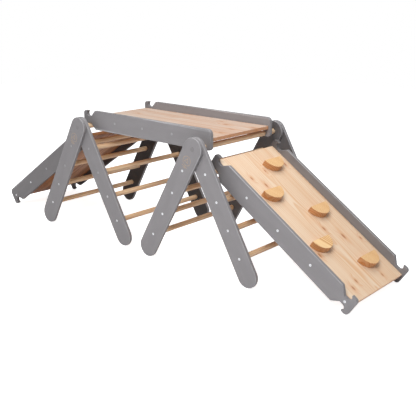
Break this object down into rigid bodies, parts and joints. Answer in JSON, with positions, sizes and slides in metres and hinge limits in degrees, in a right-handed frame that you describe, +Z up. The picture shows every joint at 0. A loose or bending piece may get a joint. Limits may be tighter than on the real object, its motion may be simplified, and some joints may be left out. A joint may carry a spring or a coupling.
{
  "type": "toddler slide",
  "caption": "Indoor wooden climbing set for small children: folding rung frames joined by a railed bridge, with a hooked-on slide and a ramp with half-round climbing holds.",
  "frame": {"origin": "middle of the bounding box's underside, on the floor", "axes": "+X along the set from the slide to the ramp, -Y towards the viewer's side, +Z up"},
  "size_m": [2.5498, 0.6606, 0.6922],
  "materials": {
    "painted_wood": "grey satin paint over solid pine boards",
    "deck_pine": "clear-lacquered edge-glued pine",
    "rung_wood": "clear-lacquered round beech dowel",
    "hold_wood": "clear-lacquered pine block"
  },
  "bodies": {
    "left_main_ladder": {"left_main_side_front": "painted_wood", "left_main_side_back": "painted_wood", "left_pivot_plug_front": "painted_wood", "left_main_rung_1": "rung_wood", "left_main_rung_2": "rung_wood", "left_main_rung_3": "rung_wood", "left_main_rung_4": "rung_wood", "left_pivot_rung": "rung_wood"},
    "left_folding_ladder": {"left_folding_side_front": "painted_wood", "left_folding_side_back": "painted_wood", "left_pivot_plug_back": "painted_wood", "left_folding_rung_1": "rung_wood", "left_folding_rung_2": "rung_wood", "left_folding_rung_3": "rung_wood", "left_folding_rung_4": "rung_wood"},
    "right_main_ladder": {"right_main_side_front": "painted_wood", "right_main_side_back": "painted_wood", "right_pivot_plug_front": "painted_wood", "right_main_rung_1": "rung_wood", "right_main_rung_2": "rung_wood", "right_main_rung_3": "rung_wood", "right_main_rung_4": "rung_wood", "right_pivot_rung": "rung_wood"},
    "right_folding_ladder": {"right_folding_side_front": "painted_wood", "right_folding_side_back": "painted_wood", "right_pivot_plug_back": "painted_wood", "right_folding_rung_1": "rung_wood", "right_folding_rung_2": "rung_wood", "right_folding_rung_3": "rung_wood", "right_folding_rung_4": "rung_wood"},
    "bridge": {"bridge_rail_front": "painted_wood", "bridge_rail_back": "painted_wood", "bridge_board": "deck_pine"},
    "slide": {"slide_rail_front": "painted_wood", "slide_rail_back": "painted_wood", "slide_board": "deck_pine"},
    "ramp": {"ramp_rail_front": "painted_wood", "ramp_rail_back": "painted_wood", "ramp_board": "deck_pine", "ramp_hold_1": "hold_wood", "ramp_hold_2": "hold_wood", "ramp_hold_3": "hold_wood", "ramp_hold_4": "hold_wood", "ramp_hold_5": "hold_wood"}
  },
  "joints": [
    {"name": "left_fold", "type": "hinge", "parent": "left_main_ladder", "child": "left_folding_ladder", "pos_m": [-0.42558, 0, 0.60623], "axis": [0, 1, 0], "range_deg": [0, 27]},
    {"name": "bridge_lift", "type": "hinge", "parent": "left_main_ladder", "child": "bridge", "pos_m": [-0.42558, 0, 0.60623], "axis": [0, -1, 0], "range_deg": [0, 30]},
    {"name": "right_turn", "type": "hinge", "parent": "bridge", "child": "right_main_ladder", "pos_m": [0.42442, 0, 0.60623], "axis": [0, 1, 0], "range_deg": [-25, 25]},
    {"name": "right_fold", "type": "hinge", "parent": "right_main_ladder", "child": "right_folding_ladder", "pos_m": [0.42442, 0, 0.60623], "axis": [0, 1, 0], "range_deg": [0, 27]},
    {"name": "slide_lift", "type": "hinge", "parent": "left_main_ladder", "child": "slide", "pos_m": [-0.48983, 0, 0.49494], "axis": [0, 1, 0], "range_deg": [0, 30]},
    {"name": "ramp_lift", "type": "hinge", "parent": "right_folding_ladder", "child": "ramp", "pos_m": [0.48867, 0, 0.49494], "axis": [0, -1, 0], "range_deg": [0, 30]}
  ]
}
